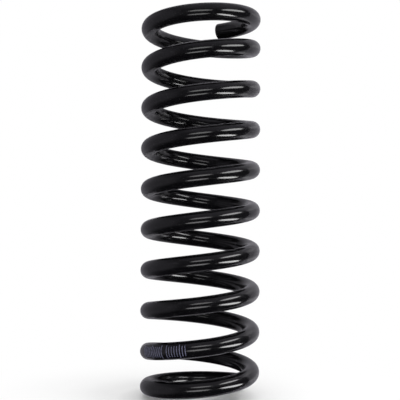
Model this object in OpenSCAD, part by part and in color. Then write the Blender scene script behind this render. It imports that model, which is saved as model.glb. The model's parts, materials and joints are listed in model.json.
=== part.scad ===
// Suspension spring of a shock absorber, coiled right-handed from one round bar of spring steel.
// Both ends are closed and left unground: each tip of the bar bends in towards the turn next to it.
// Millimetres. The coil's axis is +Z, z = 0 is the seat under the lowest turn, and -Y is the front.

/* [Bar] */
// Diameter of the round bar
bar_d = 12; // [8:0.5:14]
// Chamfer round each cut end of the bar
end_chamfer = 0.8; // [0.2:0.1:2]
// Lean of each cut, in degrees off square, which leaves the bar longer on the inside of the coil
cut_lean = 8; // [0:1:15]

/* [Coil] */
// Inner diameter of the coil, round the damper's body
inner_d = 61; // [45:0.5:80]
// Free length, over the end turns
free_length = 275; // [220:1:360]
// Turns of the bar in all, with the closed ends
turns = 10.1; // [6:0.1:11]
// Where the top tip ends, in degrees clockwise from the back, seen from above
top_tip_angle = 21; // [0:1:359]

/* [Closed ends] */
// Gap between each tip and the turn next to it
tip_gap = 1.5; // [0.3:0.1:4]
// Turns over which each end leaves the open pitch
closing_turns = 1.7; // [1.2:0.05:2.5]
// How late an end bends in: a higher power keeps the open pitch for longer
closing_power = 5; // [3:0.5:8]

/* [Smoothness] */
// Sides of the bar
bar_sides = 16; // [12:4:16]
// Rings of the sweep in one turn
rings_per_turn = 32; // [20:2:36]

/* [Hidden] */
bar_r = bar_d / 2;
coil_r = (inner_d + bar_d) / 2;
turn_length = 2 * PI * coil_r;
// Steps that settle the open pitch to well under a micrometre
pitch_steps = 15;

// Share of the closing that is left, s turns in from a tip: 1 at the tip, 0 where the pitch is open
function closing(s) = pow(max(0, 1 - s / closing_turns), closing_power);

// How fast that share falls, for each turn
function closing_rate(s) =
    closing_power / closing_turns * pow(max(0, 1 - s / closing_turns), closing_power - 1);

// How far a tip is drawn in from the open helix, so that tip_gap is left beside the next turn
function drawn_in(pitch) = (pitch - bar_d - tip_gap) / (1 - closing(1));

// Turns from a tip to the point of its end turn that stands out furthest
function crest(pitch) =
    closing_turns * max(0, 1 - pow(pitch / (drawn_in(pitch) * closing_rate(0)), 1 / (closing_power - 1)));

// How far that point stands out past the tip
function crest_height(pitch) =
    drawn_in(pitch) * (1 - closing(crest(pitch))) - pitch * crest(pitch);

// Length over both ends that a coil of this open pitch has
function length_over_ends(pitch) =
    bar_d + pitch * turns - 2 * drawn_in(pitch) + 2 * crest_height(pitch);

// The open pitch at which the length over both ends is the free length
function solved_pitch(pitch, steps) =
    steps == 0 ? pitch :
    solved_pitch(pitch + (free_length - length_over_ends(pitch)) / turns, steps - 1);

open_pitch = solved_pitch(free_length / turns, pitch_steps);
tip_in = drawn_in(open_pitch);
first_tip_z = bar_r + crest_height(open_pitch);

// The bar's centre line, t turns up from the bottom tip: its bearing, its height and its climb in a turn
function bearing(t) = 90 - top_tip_angle - 360 * (turns - t);
function height(t) = first_tip_z + open_pitch * t + tip_in * (closing(t) - 1 - closing(turns - t));
function climb(t) = open_pitch - tip_in * (closing_rate(t) + closing_rate(turns - t));

// One ring of the bar's surface. It is square to the centre line unless it leans: a positive lean
// brings its inner side on along the bar, and a negative one brings that side back
function ring(t, radius, lean) =
    let (
        a = bearing(t),
        slope = atan(climb(t) / turn_length),
        centre = [coil_r * cos(a), coil_r * sin(a), height(t)],
        straight_out = [cos(a), sin(a), 0],
        upward = [sin(a) * sin(slope), -cos(a) * sin(slope), cos(slope)],
        onward = cross(upward, straight_out),
        outward = straight_out - tan(lean) * onward
    )
    [for (k = [0 : bar_sides - 1])
        let (around = 360 * k / bar_sides)
        centre + radius * (cos(around) * outward + sin(around) * upward)];

// Sweeps the bar along the centre line as one closed skin of triangles
module swept_bar() {
    steps = ceil(turns * rings_per_turn);
    chamfer_turns = end_chamfer / turn_length;
    between = [for (i = [1 : steps - 1]) [turns * i / steps, bar_r, 0]];
    bottom_end = [[0, bar_r - end_chamfer, -cut_lean], [chamfer_turns, bar_r, -cut_lean]];
    top_end = [[turns - chamfer_turns, bar_r, cut_lean], [turns, bar_r - end_chamfer, cut_lean]];
    stations = concat(bottom_end, between, top_end);
    last = len(stations) - 1;
    points = [for (s = stations) each ring(s[0], s[1], s[2])];
    skin = [for (j = [0 : last - 1], k = [0 : bar_sides - 1])
        let (
            here = j * bar_sides,
            next = here + bar_sides,
            k2 = (k + 1) % bar_sides
        )
        each [[here + k, here + k2, next + k2], [here + k, next + k2, next + k]]];
    bottom_face = [for (k = [bar_sides - 1 : -1 : 0]) k];
    top_face = [for (k = [0 : bar_sides - 1]) last * bar_sides + k];
    polyhedron(points, concat(skin, [bottom_face, top_face]), convexity = 20);
}

// The whole spring: one bar, coiled, with nothing added
module coil_spring() {
    color("#1d1d20") swept_bar();
}

coil_spring();
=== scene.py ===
# %% [markdown]
# # A gloss black suspension spring
#
# The object is a compression spring: one round steel bar, coiled right-handed and powder coated gloss
# black. It has no other piece. So nearly all of its looks come from two things: how true the coiled bar's
# form is, and what its coat mirrors. This lesson sweeps the bar with bmesh operators, gives it a coat
# with the small faults of a real one, and then builds the light that draws the thin highlights along each
# turn.

# %% Load the frame
import json
import math

import bmesh
import bpy
from mathutils import Matrix, Vector


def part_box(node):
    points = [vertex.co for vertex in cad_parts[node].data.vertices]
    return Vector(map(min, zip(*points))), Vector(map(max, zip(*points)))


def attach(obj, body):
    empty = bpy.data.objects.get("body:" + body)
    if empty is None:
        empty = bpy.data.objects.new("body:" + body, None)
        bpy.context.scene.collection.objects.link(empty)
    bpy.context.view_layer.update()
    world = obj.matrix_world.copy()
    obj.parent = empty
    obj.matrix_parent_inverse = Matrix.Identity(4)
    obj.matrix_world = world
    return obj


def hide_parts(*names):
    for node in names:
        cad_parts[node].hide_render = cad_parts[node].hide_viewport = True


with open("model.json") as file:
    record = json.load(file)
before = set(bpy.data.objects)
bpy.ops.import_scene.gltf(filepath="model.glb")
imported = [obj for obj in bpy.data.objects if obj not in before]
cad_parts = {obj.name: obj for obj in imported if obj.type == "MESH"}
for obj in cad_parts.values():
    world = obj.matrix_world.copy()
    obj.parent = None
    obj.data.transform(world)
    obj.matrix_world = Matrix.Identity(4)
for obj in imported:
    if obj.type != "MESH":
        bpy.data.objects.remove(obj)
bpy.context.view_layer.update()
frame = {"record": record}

# %% [markdown]
# ## The sizes of the coil
#
# The construction already has the spring as a plain solid with flat facets. Its box gives the outside and
# the free length, and the mount named damper_bore gives the inside, so those sizes are read and not typed
# again. The box is rounded to a tenth of a millimetre, because the facets stop just short of the true
# round form. What a box can't tell is how the ends are wound: the number of turns, the bearing of the top
# tip, the gap beside each tip and how the end turns close. Those values are repeated here, as the maker
# of the coil sets them.

# %% Sizes of the coil
millimetre = 0.001
low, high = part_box("coil_spring")
mounts = {mount["name"]: mount for mount in frame["record"]["mounts"]}

free_length = round(high.z - low.z, 4)
outer_r = round((high.x - low.x) / 2, 4)
inner_r = mounts["damper_bore"]["dims"]["r_mm"] * millimetre
bar_d = outer_r - inner_r
bar_r = bar_d / 2
coil_r = inner_r + bar_r
turn_length = 2 * math.pi * coil_r

turns = 10.1
top_tip_angle = math.radians(21)
tip_gap = 1.5 * millimetre
closing_turns = 1.7
closing_power = 5
print(f"bar {bar_d:.4f}, inside {2 * inner_r:.4f}, outside {2 * outer_r:.4f}, length {free_length:.4f} m")

# %% [markdown]
# ## The line that the bar follows
#
# The middle of the bar is an even helix that is drawn in at both tips. A coiling machine does this by
# letting its pitch tool go back as the end of the bar comes up. It could be drawn as a curve through
# points, but a formula is shorter and exact: the share of the closing falls from 1 at a tip to 0 where
# the pitch is open, by a power law. The open pitch is then solved in a few steps, so that the length over
# both ends comes out as the free length.

# %% How the ends close
def closing(s):
    """Share of the closing that is left, s turns in from a tip."""
    return max(0, 1 - s / closing_turns) ** closing_power


def closing_rate(s):
    """How fast that share falls, for each turn."""
    return closing_power / closing_turns * max(0, 1 - s / closing_turns) ** (closing_power - 1)


def drawn_in(pitch):
    """How far a tip is drawn in from the open helix."""
    return (pitch - bar_d - tip_gap) / (1 - closing(1))


def crest_height(pitch):
    """How far the end turn stands out past its tip."""
    steepest = drawn_in(pitch) * closing_rate(0)
    crest = closing_turns * max(0, 1 - (pitch / steepest) ** (1 / (closing_power - 1)))
    return drawn_in(pitch) * (1 - closing(crest)) - pitch * crest


# %% Solve the open pitch
def length_over_ends(pitch):
    """Length over both ends of a coil with this open pitch."""
    return bar_d + pitch * turns - 2 * drawn_in(pitch) + 2 * crest_height(pitch)


pitch_steps = 15
open_pitch = free_length / turns
for step in range(pitch_steps):
    open_pitch += (free_length - length_over_ends(open_pitch)) / turns
tip_in = drawn_in(open_pitch)
first_tip_z = bar_r + crest_height(open_pitch)
print(f"open pitch {open_pitch * 1000:.3f} mm, tips drawn in by {tip_in * 1000:.2f} mm")


# %% The centre line and the frame on it
def bearing(t):
    """Angle of the bar round the axis, t turns up from the bottom tip."""
    return math.pi / 2 - top_tip_angle - 2 * math.pi * (turns - t)


def height(t):
    """Height of the centre line at that place."""
    return first_tip_z + open_pitch * t + tip_in * (closing(t) - 1 - closing(turns - t))


def climb(t):
    """Rise for each turn at that place."""
    return open_pitch - tip_in * (closing_rate(t) + closing_rate(turns - t))


def bar_frame(t):
    """Takes a ring drawn round the origin to the bar: X up across the bar, Y outward, Z along it."""
    angle = bearing(t)
    slope = math.atan2(climb(t), turn_length)
    outward = Vector((math.cos(angle), math.sin(angle), 0))
    upward = Vector((math.sin(angle) * math.sin(slope), -math.cos(angle) * math.sin(slope), math.cos(slope)))
    placed = Matrix((upward, outward, upward.cross(outward))).transposed().to_4x4()
    placed.translation = outward * coil_r + Vector((0, 0, height(t)))
    return placed


# %% [markdown]
# ## The coiled bar
#
# On the real spring the bar is drawn wire of a truly round section. It could be a curve with a round
# bevel, but then the ends are hard to finish. Here one ring of edges is extruded again and again, and
# each new ring is moved on by the step between two frames of the centre line. Every point also remembers
# where it lay on the straight bar, before coiling. Patterns that read this attribute run along the bar
# without any seam.

# %% Start with one ring
bar_sides = 48
rings_per_turn = 72
steps = math.ceil(turns * rings_per_turn)


def start_ring(mesh, place_layer):
    """Lays a round ring at the bottom tip. Returns its edges."""
    points = bmesh.ops.create_circle(mesh, segments=bar_sides, radius=bar_r, cap_ends=False)["verts"]
    for point in points:
        point[place_layer] = point.co
    bmesh.ops.transform(mesh, matrix=bar_frame(0), verts=points)
    return list({edge for point in points for edge in point.link_edges})


# %% Draw the ring on along the centre line
def draw_on(mesh, place_layer, ring_edges, step):
    """Extrudes the ring by one step of the sweep. Returns the edges of the new ring."""
    grown = bmesh.ops.extrude_edge_only(mesh, edges=ring_edges)["geom"]
    points = {item for item in grown if isinstance(item, bmesh.types.BMVert)}
    here, there = bar_frame(turns * (step - 1) / steps), bar_frame(turns * step / steps)
    bmesh.ops.transform(mesh, matrix=there @ here.inverted(), verts=list(points))
    for point in points:
        point[place_layer].z = turns * turn_length * step / steps
    return [item for item in grown if isinstance(item, bmesh.types.BMEdge) and points.issuperset(item.verts)]


# %% [markdown]
# ## The cut tips
#
# A coiler cuts the bar with one blade, nearly square, and the cut leans a little, so that the bar is
# longer on the inside of the coil. The photo shows that on the top tip. The end ring is skewed by that
# lean and filled, and its rim is bevelled to a small round. Then the face is inset and sunk by a hair,
# because the powder gathers at the rim. The cut gets a finish of its own, in the second material slot: it
# stays rougher under its coat than drawn wire does.

# %% Lean the end rings
cut_lean = math.radians(8)


def lean_ring(mesh, place_layer, ring_edges, t, lean):
    """Turns an end ring off square. A positive lean brings its inner side on along the bar."""
    points = list({point for edge in ring_edges for point in edge.verts})
    skew = Matrix.Identity(4)
    skew[2][1] = -math.tan(lean)
    bmesh.ops.transform(mesh, matrix=bar_frame(t) @ skew @ bar_frame(t).inverted(), verts=points)
    for point in points:
        point[place_layer].z -= point[place_layer].y * math.tan(lean)


# %% Close and finish the ends
rim_radius = 0.8 * millimetre
bead_width = 1.4 * millimetre
face_depth = 0.12 * millimetre
cut_slot = 1


def finish_tip(mesh, end_edges):
    """Fills an end ring, rounds its rim, and insets and sinks its face. Returns how many faces that made."""
    face = bmesh.ops.contextual_create(mesh, geom=end_edges)["faces"][0]
    rounded = bmesh.ops.bevel(
        mesh, geom=list(face.edges), affect="EDGES", offset=rim_radius, segments=4, profile=0.5, material=-1,
    )
    cut = next(f for f in mesh.faces if len(f.verts) == bar_sides)
    bead = bmesh.ops.inset_individual(
        mesh, faces=[cut], thickness=bead_width, depth=-face_depth, use_even_offset=True,
    )
    cut_faces = [cut, *bead["faces"]]
    for f in cut_faces:
        f.material_index = cut_slot
    return len(rounded["faces"]) + len(cut_faces)


# %% Make an object of a mesh
def new_piece(name, mesh, materials):
    """Puts a finished bmesh into the scene as one smooth-shaded object at the origin."""
    data = bpy.data.meshes.new(name)
    mesh.to_mesh(data)
    mesh.free()
    data.shade_smooth()
    for material in materials:
        data.materials.append(material)
    piece = bpy.data.objects.new(name, data)
    bpy.context.scene.collection.objects.link(piece)
    return piece


# %% Build the coiled bar
coat = bpy.data.materials.new("gloss_black_coat")
coated_cut = bpy.data.materials.new("coat_on_the_cut")

mesh = bmesh.new()
straight = mesh.verts.layers.float_vector.new("straight_bar")
bottom_ring = start_ring(mesh, straight)
top_ring = bottom_ring
for step in range(1, steps + 1):
    top_ring = draw_on(mesh, straight, top_ring, step)
lean_ring(mesh, straight, bottom_ring, 0, -cut_lean)
lean_ring(mesh, straight, top_ring, turns, cut_lean)
tip_faces = [finish_tip(mesh, end_ring) for end_ring in (bottom_ring, top_ring)]
bmesh.ops.remove_doubles(mesh, verts=mesh.verts, dist=0.001 * millimetre)
bmesh.ops.recalc_face_normals(mesh, faces=mesh.faces)
coiled_bar = new_piece("coiled_bar", mesh, [coat, coated_cut])
print("coiled bar:", len(coiled_bar.data.polygons), "faces, of them on the tips", tip_faces)
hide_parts("coil_spring")
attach(coiled_bar, "root")

# %% [markdown]
# ## The printed ticks
#
# Springs of this kind carry a small ink mark on one of the lower turns. Here it is two plain rows of
# ticks. Each tick starts as a flat grid, which is bent onto the bar by the same frame that the sweep
# uses, and then gets the thickness of a film of ink. A row is given by the turn that it starts at, its
# number of ticks and the width of one tick. Every fifth tick is a long one.

# %% Make the ticks
tick_rows = ((1.478, 11, 0.68 * millimetre), (1.569, 8, 0.5 * millimetre))
tick_step = 0.0075
ink_lift = 0.03 * millimetre
short_tick, long_tick = math.radians(36), math.radians(47)


def bend_onto_bar(point, t, width, half_sweep):
    """Moves a point of a flat unit grid onto the bar: its X along the bar, its Y round the bar."""
    along = t + point.co.x * width / turn_length
    around = point.co.y * 2 * half_sweep
    lifted = bar_r + ink_lift
    point.co = bar_frame(along) @ Vector((lifted * math.sin(around), lifted * math.cos(around), 0))


def add_tick(mesh, t, width, half_sweep):
    """Lays one tick across the bar, t turns up from the bottom tip."""
    made = bmesh.ops.create_grid(mesh, x_segments=2, y_segments=12, size=0.5)
    for point in made["verts"]:
        bend_onto_bar(point, t, width, half_sweep)


ink = bpy.data.materials.new("marking_ink")
mesh = bmesh.new()
for first, count, width in tick_rows:
    for number in range(count):
        half_sweep = long_tick if number % 5 == 0 else short_tick
        add_tick(mesh, first + number * tick_step, width, half_sweep)
bmesh.ops.recalc_face_normals(mesh, faces=mesh.faces)
bmesh.ops.solidify(mesh, geom=mesh.faces[:], thickness=2 * ink_lift)
marking = new_piece("marking_ticks", mesh, [ink])
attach(marking, "root")
print("ticks:", sum(row[1] for row in tick_rows), "on", len(marking.data.polygons), "faces")

# %% [markdown]
# ## Helpers for materials
#
# A material is a small machine of nodes. A few helpers keep the cells short: one places a node and sets
# it up, one starts a group that takes a place and some values, one does a sum on two sockets, and one
# makes a soft step.

# %% Node helpers
def add(tree, kind, **settings):
    """Places a node of a kind and sets it up."""
    made = tree.nodes.new(kind)
    for name, value in settings.items():
        setattr(made, name, value)
    return made


def open_group(name, values, results):
    """Starts a node group that takes a place and some values. Returns its tree and its two end nodes."""
    group = bpy.data.node_groups.new(name, "ShaderNodeTree")
    group.interface.new_socket("Place", in_out="INPUT", socket_type="NodeSocketVector")
    for label, value in values.items():
        socket = group.interface.new_socket(label, in_out="INPUT", socket_type="NodeSocketFloat")
        socket.default_value = value
    for label in results:
        group.interface.new_socket(label, in_out="OUTPUT", socket_type="NodeSocketFloat")
    return group, add(group, "NodeGroupInput"), add(group, "NodeGroupOutput")


def math_node(tree, operation, a, b):
    """A maths node on two sockets or numbers. Returns its output."""
    made = add(tree, "ShaderNodeMath", operation=operation)
    for socket, value in zip(made.inputs, (a, b)):
        if isinstance(value, (int, float)):
            socket.default_value = value
        else:
            tree.links.new(value, socket)
    return made.outputs[0]


def soft_step(tree, value, start, end, before=0, after=1):
    """Goes softly from one number at the start to another at the end. Returns its output."""
    made = add(tree, "ShaderNodeMapRange", interpolation_type="SMOOTHSTEP")
    for label, number in (("From Min", start), ("From Max", end), ("To Min", before), ("To Max", after)):
        made.inputs[label].default_value = number
    tree.links.new(value, made.inputs["Value"])
    return made.outputs["Result"]


# %% [markdown]
# ## The skin of a powder coat
#
# Powder flows out in the oven but never lies quite flat: it keeps a very low ripple, called orange peel,
# and over rough steel its grains make nibs. The drawn bar has only the ripple, while the two cuts have
# both, so the skin is a node group with a value for each. It gives heights alone, and the bump stays in
# the material. The radius of a nib is a share of the cell that it stands in.

# %% Group: coat skin
nib_cells_per_metre = 160
nib_radius = 0.07

skin, given, result = open_group("coat_skin", {"Ripple": 500, "Nib": 0}, ["Height"])
ripple = add(skin, "ShaderNodeTexNoise")
ripple.inputs["Detail"].default_value = 2
skin.links.new(given.outputs["Place"], ripple.inputs["Vector"])
skin.links.new(given.outputs["Ripple"], ripple.inputs["Scale"])
grains = add(skin, "ShaderNodeTexVoronoi", feature="F1")
grains.inputs["Scale"].default_value = nib_cells_per_metre
skin.links.new(given.outputs["Place"], grains.inputs["Vector"])
mound = soft_step(skin, grains.outputs["Distance"], 0, nib_radius, before=1, after=0)
nib = math_node(skin, "MULTIPLY", mound, given.outputs["Nib"])
skin.links.new(math_node(skin, "ADD", ripple.outputs["Fac"], nib), result.inputs["Height"])
print("coat_skin nodes:", len(skin.nodes))

# %% [markdown]
# ## Handling haze
#
# Even a new gloss coat isn't evenly clear: fingers, foam and air leave a thin uneven haze on it, in soft
# clouds, and a few specks of dust. The group gives two masks, which the materials turn into a change of
# roughness and a trace of grey.

# %% Group: handling haze
haze_from, haze_full = 0.35, 0.75
speck_from, speck_full = 0.74, 0.8

haze, given, result = open_group("handling_haze", {"Cloud": 60, "Speck": 900}, ["Haze", "Dust"])
clouds = add(haze, "ShaderNodeTexNoise")
clouds.inputs["Detail"].default_value = 4
clouds.inputs["Roughness"].default_value = 0.6
haze.links.new(given.outputs["Place"], clouds.inputs["Vector"])
haze.links.new(given.outputs["Cloud"], clouds.inputs["Scale"])
haze.links.new(soft_step(haze, clouds.outputs["Fac"], haze_from, haze_full), result.inputs["Haze"])
specks = add(haze, "ShaderNodeTexNoise")
specks.inputs["Detail"].default_value = 0
haze.links.new(given.outputs["Place"], specks.inputs["Vector"])
haze.links.new(given.outputs["Speck"], specks.inputs["Scale"])
haze.links.new(soft_step(haze, specks.outputs["Fac"], speck_from, speck_full), result.inputs["Dust"])
print("handling_haze nodes:", len(haze.nodes))

# %% [markdown]
# ## Helpers for the finishes
#
# Each finish starts as an empty material with a place to hang patterns on. Then come the groups, whose
# masks are turned into colours and roughness, and a bump where the surface isn't smooth. Patterns on the
# bar read the place that each point had on the straight bar, so they run along the coil.

# %% Start a material and place a group
def start_material(material):
    """Empties a material. Returns its tree and its Principled shader."""
    material.use_nodes = True
    tree = material.node_tree
    tree.nodes.clear()
    shader = add(tree, "ShaderNodeBsdfPrincipled")
    output = add(tree, "ShaderNodeOutputMaterial")
    tree.links.new(shader.outputs["BSDF"], output.inputs["Surface"])
    return tree, shader


def place_on_straight_bar(tree):
    """Where a point lay on the bar before coiling."""
    return add(tree, "ShaderNodeAttribute", attribute_name="straight_bar").outputs["Vector"]


def use_group(tree, group, place, **values):
    """Puts a group into a material, with values of its own."""
    made = add(tree, "ShaderNodeGroup", node_tree=group)
    tree.links.new(place, made.inputs["Place"])
    for label, value in values.items():
        made.inputs[label].default_value = value
    return made


# %% Turn masks and heights into a finish
def mix_colours(tree, mask, first, second):
    """Goes from the first colour to the second by the mask. The first may be a socket."""
    made = add(tree, "ShaderNodeMix", data_type="RGBA")
    tree.links.new(mask, made.inputs[0])
    if isinstance(first, tuple):
        made.inputs[6].default_value = (*first, 1)
    else:
        tree.links.new(first, made.inputs[6])
    made.inputs[7].default_value = (*second, 1)
    return made.outputs[2]


def spread(tree, mask, lowest, highest):
    """Turns a mask of 0 to 1 into a value between two others."""
    made = add(tree, "ShaderNodeMapRange")
    made.inputs["To Min"].default_value = lowest
    made.inputs["To Max"].default_value = highest
    tree.links.new(mask, made.inputs["Value"])
    return made.outputs["Result"]


def bump_from(tree, shader, pattern, full_height):
    """Bends the shading as a pattern of this full height, in metres, would."""
    made = add(tree, "ShaderNodeBump")
    made.inputs["Strength"].default_value = 1
    made.inputs["Distance"].default_value = full_height
    tree.links.new(pattern, made.inputs["Height"])
    tree.links.new(made.outputs["Normal"], shader.inputs["Normal"])


# %% [markdown]
# ## The gloss black coat
#
# The coat is a black so deep that nearly all of its looks are mirrored light. The base colour is almost
# nothing and the roughness is low: just enough to soften the edges of the highlights as the photo shows
# them. The haze lifts both a little, specks of dust show as grey points from close by, and the skin bends
# the highlights by a hair.

# %% Material: gloss black coat
clear_black = (0.0008, 0.00075, 0.001)
hazy_black = (0.0012, 0.0011, 0.0015)
dust_grey = (0.012, 0.012, 0.013)
clear_roughness, hazy_roughness = 0.13, 0.16
ripple_height = 0.01 * millimetre

tree, shader = start_material(coat)
place = place_on_straight_bar(tree)
film = use_group(tree, haze, place, Cloud=45, Speck=1300)
texture = use_group(tree, skin, place, Ripple=160, Nib=0)
black = mix_colours(tree, film.outputs["Haze"], clear_black, hazy_black)
dusty_black = mix_colours(tree, film.outputs["Dust"], black, dust_grey)
tree.links.new(dusty_black, shader.inputs["Base Color"])
roughness = spread(tree, film.outputs["Haze"], clear_roughness, hazy_roughness)
tree.links.new(roughness, shader.inputs["Roughness"])
bump_from(tree, shader, texture.outputs["Height"], ripple_height)
shader.inputs["IOR"].default_value = 1.5
print(coat.name, "nodes:", len(tree.nodes))

# %% [markdown]
# ## The coat on the cuts
#
# The blade leaves fine grooves across the cut, and the coat follows them. A wave pattern across the face
# gives the grooves, and the duller roughness hides most reflections, so the tip reads as a dark matt
# disc.

# %% Material: coat on a cut
cut_black, cut_grey = (0.008, 0.008, 0.009), (0.03, 0.03, 0.03)
smooth_cut, rough_cut = 0.3, 0.5
groove_height = 0.05 * millimetre

tree, shader = start_material(coated_cut)
place = place_on_straight_bar(tree)
film = use_group(tree, haze, place, Cloud=200, Speck=1800)
texture = use_group(tree, skin, place, Ripple=900, Nib=1)
grooves = add(tree, "ShaderNodeTexWave", wave_type="BANDS", bands_direction="X")
grooves.inputs["Scale"].default_value = 380
grooves.inputs["Distortion"].default_value = 2
tree.links.new(place, grooves.inputs["Vector"])
tree.links.new(mix_colours(tree, film.outputs["Haze"], cut_black, cut_grey), shader.inputs["Base Color"])
tree.links.new(spread(tree, film.outputs["Haze"], smooth_cut, rough_cut), shader.inputs["Roughness"])
rough_height = math_node(tree, "ADD", texture.outputs["Height"], grooves.outputs["Fac"])
bump_from(tree, shader, rough_height, groove_height)
print(coated_cut.name, "nodes:", len(tree.nodes))

# %% [markdown]
# ## The ink
#
# The mark is a thin blue-grey ink on gloss black. It dries patchy, so dark shows through here and there.
# The haze group serves again, as the mask between the ink and the black below it.

# %% Material: marking ink
full_ink, thin_ink = (0.1, 0.102, 0.165), (0.012, 0.0125, 0.026)
full_ink_roughness, thin_ink_roughness = 0.5, 0.35

tree, shader = start_material(ink)
place = add(tree, "ShaderNodeTexCoord").outputs["Object"]
film = use_group(tree, haze, place, Cloud=1500, Speck=2500)
worn = film.outputs["Haze"]
tree.links.new(mix_colours(tree, worn, full_ink, thin_ink), shader.inputs["Base Color"])
tree.links.new(spread(tree, worn, full_ink_roughness, thin_ink_roughness), shader.inputs["Roughness"])
print(ink.name, "nodes:", len(tree.nodes))

# %% [markdown]
# ## The camera
#
# The camera stands about level with the middle of the spring, as far away as the photo's perspective says.
# Its lens, its height and its slight lean come from laying the outline of the coil over the photo's. Its
# rise on the sensor frames the spring as the photo does.

# %% Camera
picture = 400
focal_px = 908.4
horizon_row = 211.45
axis_column = 200.27
sensor = 36
camera_distance = 0.6489
camera_height = 0.1323
lean = 0.00477
roll = -0.00439

camera_data = bpy.data.cameras.new("camera")
camera_data.sensor_width = sensor
camera_data.lens = focal_px / picture * sensor
camera_data.shift_x = (picture / 2 - axis_column) / picture
camera_data.shift_y = (horizon_row - picture / 2) / picture
camera = bpy.data.objects.new("camera", camera_data)
bpy.context.scene.collection.objects.link(camera)
camera.matrix_world = (
    Matrix.Translation((0, 0, camera_height))
    @ Matrix.Rotation(roll, 4, "Y")
    @ Matrix.Rotation(lean, 4, "X")
    @ Matrix.Translation((0, -camera_distance, 0))
    @ Matrix.Rotation(math.radians(90), 4, "X")
)
bpy.context.scene.camera = camera
print(f"lens {camera_data.lens:.2f} mm at {camera_distance} m")

# %% [markdown]
# ## The strips of light
#
# Gloss black shows a lamp as its mirror image, squeezed to a thin line along the bar. Each turn in the
# photo has four of them: a bright pair right of the middle and a faint pair left of it. So there are four
# long soft boxes, two high and two low, set by the bearing of their two ends as seen from the coil's
# axis. The bright pair spreads a little to the right, so those two are tilted.

# %% A strip of light
coil_middle = Vector((0, 0, free_length / 2))


def strip_light(name, first, last, out, up, tall, brightness, tilt=0):
    """A soft box between two bearings, in degrees to the camera's right. The tilt lifts its right end."""
    middle = math.radians((first + last) / 2)
    half = math.radians((last - first) / 2)
    wide = 2 * out * math.tan(half)
    area = math.pi / 4 * wide * tall
    place = coil_middle + Vector((out * math.sin(middle), -out * math.cos(middle), up))
    lamp = bpy.data.lights.new(name, "AREA")
    lamp.shape = "ELLIPSE"
    lamp.size = wide
    lamp.size_y = tall
    lamp.energy = brightness * math.pi * area
    placed = bpy.data.objects.new(name, lamp)
    bpy.context.scene.collection.objects.link(placed)
    facing = (coil_middle - place).to_track_quat("-Z", "Y").to_matrix().to_4x4()
    placed.matrix_world = Matrix.Translation(place) @ facing @ Matrix.Rotation(math.radians(tilt), 4, "Z")
    placed.visible_camera = False
    print(f"{name}: {wide:.2f} by {tall:.2f} m, {lamp.energy:.2f} W")


# %% The four strips
strip_light("right_high_strip", 37, 85, out=0.37, up=0.198, tall=0.11, brightness=7.3, tilt=3)
strip_light("right_low_strip", 36, 85, out=0.34, up=-0.177, tall=0.1, brightness=12.8, tilt=-10)
strip_light("left_high_strip", -22, 20, out=0.42, up=0.174, tall=0.11, brightness=3.3)
strip_light("left_low_strip", -24, 19, out=0.39, up=-0.162, tall=0.1, brightness=3.85)

# %% [markdown]
# ## The surround
#
# What a gloss black coat mirrors besides the strips is a dim room. The world does three things: the
# camera sees plain white, diffuse light is even, and a mirrored ray meets soft patches of wall and
# ceiling on a dark ground. Plain white for the mirrored rays too would turn the whole coat grey, and the
# photo shows it black. Each patch is set by where its middle lies: its bearing from the camera's side to
# the right, and its height above the level. Then come how far from there it reaches, how far it is full
# and its strength. All angles are in degrees.

# %% Start the world
world = bpy.data.worlds.new("studio")
bpy.context.scene.world = world
world.use_nodes = True
sky = world.node_tree
sky.nodes.clear()
direction = add(sky, "ShaderNodeTexCoord").outputs["Generated"]


# %% A patch of light on the surround
def wall_glow(side, up, reach, full, strength):
    """A soft patch of light on the surround, full near its middle and gone at its reach."""
    side, up = math.radians(side), math.radians(up)
    nearness = add(sky, "ShaderNodeVectorMath", operation="DOT_PRODUCT")
    sky.links.new(direction, nearness.inputs[0])
    nearness.inputs[1].default_value = (
        math.sin(side) * math.cos(up), -math.cos(side) * math.cos(up), math.sin(up),
    )
    edge, core = math.cos(math.radians(reach)), math.cos(math.radians(full))
    return soft_step(sky, nearness.outputs["Value"], edge, core, after=strength)


# %% [markdown]
# ## The patches of the room
#
# The photo tells where they are: at each point of the coil the mirrored direction is known, and the grey
# there tells how bright the room is that way. The bends at the left mirror a large wall, on every turn
# alike. It is full for level directions and gone for steep ones, so it is multiplied by a band. A ceiling
# lies over it all, brightest at the right, and a faint glow comes from the front and from the right.

# %% A band of level directions
def level_band(full, reach):
    """1 for directions that are level or nearly so, 0 for those steeper than the reach."""
    axes = add(sky, "ShaderNodeSeparateXYZ")
    sky.links.new(direction, axes.inputs[0])
    steep = math_node(sky, "ABSOLUTE", axes.outputs["Z"], 0)
    core, edge = math.sin(math.radians(full)), math.sin(math.radians(reach))
    return soft_step(sky, steep, core, edge, before=1, after=0)


# %% Patches of the room
dark_ground = 0.02
whole_left_wall = wall_glow(-106, 0, reach=72, full=42, strength=0.3)
patches = {
    "left wall": math_node(sky, "MULTIPLY", whole_left_wall, level_band(full=20, reach=58)),
    "left ceiling": wall_glow(-92, 62, reach=44, full=12, strength=0.14),
    "ceiling": wall_glow(50, 62, reach=58, full=10, strength=0.29),
    "right end of the ceiling": wall_glow(80, 57, reach=28, full=5, strength=0.14),
    "right wall": wall_glow(90, 0, reach=60, full=20, strength=0.035),
    "front wall": wall_glow(-10, 15, reach=75, full=20, strength=0.045),
    "front wall, high on the left": wall_glow(-33, 35, reach=32, full=8, strength=0.08),
    "front wall, low on the left": wall_glow(-33, -8, reach=28, full=6, strength=0.06),
}
surround = dark_ground
for patch in patches.values():
    surround = math_node(sky, "ADD", patch, surround)
print("patches of the room:", "; ".join(patches))


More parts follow.
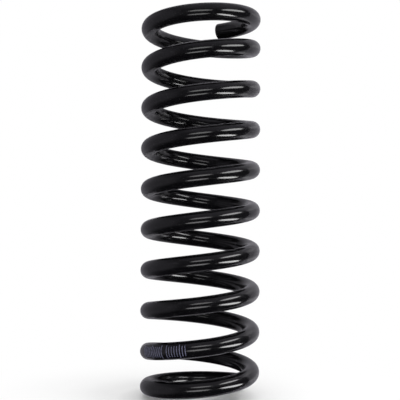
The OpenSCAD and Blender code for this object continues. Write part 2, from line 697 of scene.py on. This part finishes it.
# %% Backgrounds and how to choose between them
def background(colour, strength=1):
    """A background of one colour, with a number or a socket for its strength. Returns its output."""
    made = add(sky, "ShaderNodeBackground")
    made.inputs["Color"].default_value = (*colour, 1)
    if isinstance(strength, (int, float)):
        made.inputs["Strength"].default_value = strength
    else:
        sky.links.new(strength, made.inputs["Strength"])
    return made.outputs[0]


def choose(tree, share, first, second):
    """Mixes two shaders: the first where the share is 0, the second where it is 1."""
    made = add(tree, "ShaderNodeMixShader")
    tree.links.new(share, made.inputs[0])
    tree.links.new(first, made.inputs[1])
    tree.links.new(second, made.inputs[2])
    return made.outputs[0]


def seen_directly(tree, ray):
    """1 for rays from the camera, straight or through glass."""
    return math_node(tree, "MAXIMUM", ray.outputs["Is Camera Ray"], ray.outputs["Is Transmission Ray"])


# %% What each kind of ray sees
white, cool_white = (1, 1, 1), (0.92, 0.89, 1)

ray = add(sky, "ShaderNodeLightPath")
even_light = background(white)
dim_room = background(cool_white, surround)
unseen = choose(sky, ray.outputs["Is Glossy Ray"], even_light, dim_room)
output = add(sky, "ShaderNodeOutputWorld")
sky.links.new(choose(sky, seen_directly(sky, ray), unseen, background(white)), output.inputs["Surface"])
print("world nodes:", len(sky.nodes))

# %% [markdown]
# ## The sheet behind the spring
#
# The bends at the right mirror what is close behind the spring: a pale, slightly shiny sheet, bright
# where the right strips reach it and dark in the spring's own shadow. A patch on the far surround can't
# do that, because it looks the same from every turn. So the sheet is a real surface just behind the coil,
# which only mirrored rays meet. Where it ends on the right, the dark gap beside the bright part of the
# right bends begins.

# %% Backing sheet
sheet_gap = 3 * millimetre
sheet_left, sheet_right = -0.06, 0.26
sheet_low, sheet_high = -0.4, 0.7

mesh = bmesh.new()
bmesh.ops.create_grid(mesh, x_segments=1, y_segments=1, size=0.5)
bmesh.ops.scale(mesh, vec=(sheet_right - sheet_left, sheet_high - sheet_low, 1), verts=mesh.verts)
bmesh.ops.rotate(mesh, matrix=Matrix.Rotation(math.radians(90), 3, "X"), verts=mesh.verts)
sheet_middle = Vector(((sheet_left + sheet_right) / 2, outer_r + sheet_gap, (sheet_low + sheet_high) / 2))
bmesh.ops.translate(mesh, vec=sheet_middle, verts=mesh.verts)
card = bpy.data.materials.new("backing_card")
sheet = new_piece("backing_sheet", mesh, [card])
sheet.visible_camera = False
sheet.visible_diffuse = False
sheet.visible_shadow = False
print(f"sheet: {sheet.dimensions.x:.2f} by {sheet.dimensions.z:.2f} m, {sheet_gap:.3f} m behind the coil")

# %% Material: card of the sheet
tree, shader = start_material(card)
shader.inputs["Base Color"].default_value = (0.31, 0.3, 0.33, 1)
shader.inputs["Roughness"].default_value = 0.2
shader.inputs["Specular IOR Level"].default_value = 0.35
print(card.name, "nodes:", len(tree.nodes))

# %% [markdown]
# ## The floor
#
# A plain pale floor lies in the seat plane and takes the spring's soft shadow. Further out it runs into
# the white of the background, so no horizon shows. The low strips stand partly under its plane, so it
# casts no shadow itself, and it isn't mirrored either: the surround gives the light from below.

# %% Floor
mesh = bmesh.new()
bmesh.ops.create_circle(mesh, segments=96, radius=6, cap_ends=True)
paper = bpy.data.materials.new("pale_paper")
floor = new_piece("floor", mesh, [paper])
floor.visible_glossy = False
floor.visible_shadow = False
print(f"floor: {floor.dimensions.x:.1f} m across")

# %% Material: pale paper that fades to white
paper_end, white_start = 0.03, 0.18

tree, matt = start_material(paper)
matt.inputs["Base Color"].default_value = (0.9, 0.9, 0.9, 1)
matt.inputs["Roughness"].default_value = 1
matt.inputs["Specular IOR Level"].default_value = 0
glow = add(tree, "ShaderNodeEmission")
glow.inputs["Color"].default_value = (1, 1, 1, 1)
from_axis = add(tree, "ShaderNodeVectorMath", operation="LENGTH")
tree.links.new(add(tree, "ShaderNodeTexCoord").outputs["Object"], from_axis.inputs[0])
fade = soft_step(tree, from_axis.outputs["Value"], paper_end, white_start)
directly = seen_directly(tree, add(tree, "ShaderNodeLightPath"))
share = math_node(tree, "MULTIPLY", fade, directly)
faded = choose(tree, share, matt.outputs["BSDF"], glow.outputs[0])
tree.links.new(faded, tree.nodes["Material Output"].inputs["Surface"])
print(paper.name, "nodes:", len(tree.nodes))

# %% [markdown]
# ## Colour
#
# The picture uses the plain view transform, so that colours come out as written.

# %% Finish
bpy.context.scene.view_settings.view_transform = "Standard"
